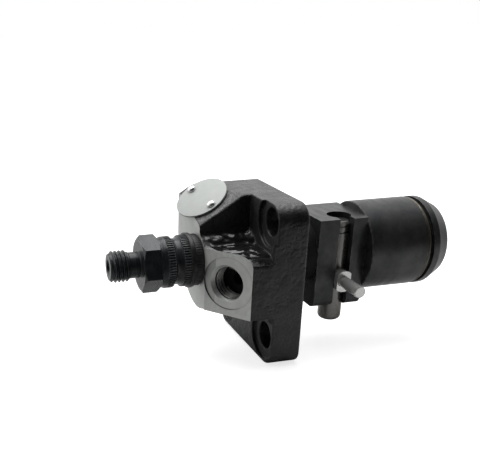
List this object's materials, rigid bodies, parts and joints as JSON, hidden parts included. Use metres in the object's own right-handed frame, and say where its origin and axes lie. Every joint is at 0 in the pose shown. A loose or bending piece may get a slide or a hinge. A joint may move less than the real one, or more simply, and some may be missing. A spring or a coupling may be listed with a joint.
{
  "type": "diesel injection pump",
  "caption": "Flange-mounted single-plunger diesel injection pump with a sprung roller tappet, control rack, threaded fuel inlet and high-pressure outlet.",
  "frame": {"origin": "where the pump axis crosses the flange's mounting face", "axes": "+X along the pump axis towards the roller tappet and the engine, -Y towards the fuel inlet and the rack pin, +Z towards the sloping boss with the round plate"},
  "size_m": [0.1343, 0.0501, 0.0639],
  "materials": {
    "housing_casting": "gloss black paint with bare machined faces",
    "guide_steel": "black oxide",
    "holder_steel": "black oxide, semi-gloss",
    "ring_black": "black oxide, dull",
    "plate_metal": "satin",
    "rivet_metal": "bright",
    "rack_steel": "ground",
    "pin_steel": "ground, bright",
    "ring_wire": "oiled spring wire",
    "ground_steel": "ground",
    "spring_steel": "oiled spring wire",
    "tappet_steel": "hardened and ground",
    "gasket_copper": "annealed copper",
    "bush_bronze": "turned bronze"
  },
  "bodies": {
    "pump": {"pump_housing": "housing_casting", "name_plate": "plate_metal", "plate_rivets": "rivet_metal", "guide_body": "guide_steel", "delivery_valve_holder": "holder_steel", "holder_seal_ring": "ring_black", "holder_lock_ring": "ring_black", "delivery_valve_gasket": "gasket_copper", "delivery_valve_seat": "ground_steel", "delivery_valve_spring": "spring_steel", "volume_reducer": "ground_steel", "barrel": "ground_steel", "barrel_locating_pin": "ground_steel", "upper_spring_seat": "spring_steel", "plunger_spring": "spring_steel", "tappet_guide_pin": "ground_steel", "retaining_ring": "ring_wire"},
    "rack": {"control_rack": "rack_steel", "rack_collar": "pin_steel", "rack_pin": "pin_steel"},
    "pinion": {"control_pinion": "tappet_steel"},
    "tappet": {"tappet": "tappet_steel", "adjusting_shim": "ground_steel", "lower_spring_seat": "spring_steel", "roller_pin": "ground_steel"},
    "plunger": {"plunger": "ground_steel"},
    "roller": {"tappet_roller": "ground_steel", "roller_bush": "bush_bronze"},
    "valve": {"delivery_valve": "ground_steel"}
  },
  "joints": [
    {"name": "rack_slide", "type": "slide", "parent": "pump", "child": "rack", "axis": [0, 0, 1], "range_m": [-0.003, 0.008]},
    {"name": "pinion_turn", "type": "hinge", "parent": "pump", "child": "pinion", "pos_m": [0.0215, 0, 0], "axis": [1, 0, 0], "range_deg": [-100, 45]},
    {"name": "tappet_slide", "type": "slide", "parent": "pump", "child": "tappet", "axis": [-1, 0, 0], "range_m": [0, 0.007], "stiffness_N_per_m": 9100, "springref_m": -0.005, "deforming": ["plunger_spring"]},
    {"name": "plunger_turn", "type": "hinge", "parent": "tappet", "child": "plunger", "pos_m": [0.0215, 0, 0], "axis": [1, 0, 0], "range_deg": [-100, 45]},
    {"name": "roller_spin", "type": "hinge", "parent": "tappet", "child": "roller", "pos_m": [0.0602, 0, 0], "axis": [0, 0, 1], "continuous": true},
    {"name": "delivery_valve_lift", "type": "slide", "parent": "pump", "child": "valve", "axis": [-1, 0, 0], "range_m": [0, 0.002], "stiffness_N_per_m": 7500, "springref_m": -0.001, "deforming": ["delivery_valve_spring"]}
  ],
  "couplings": [
    {"joint": "pinion_turn", "follows": "rack_slide", "rad_per_m": -178.57},
    {"joint": "plunger_turn", "follows": "rack_slide", "rad_per_m": -178.57}
  ]
}
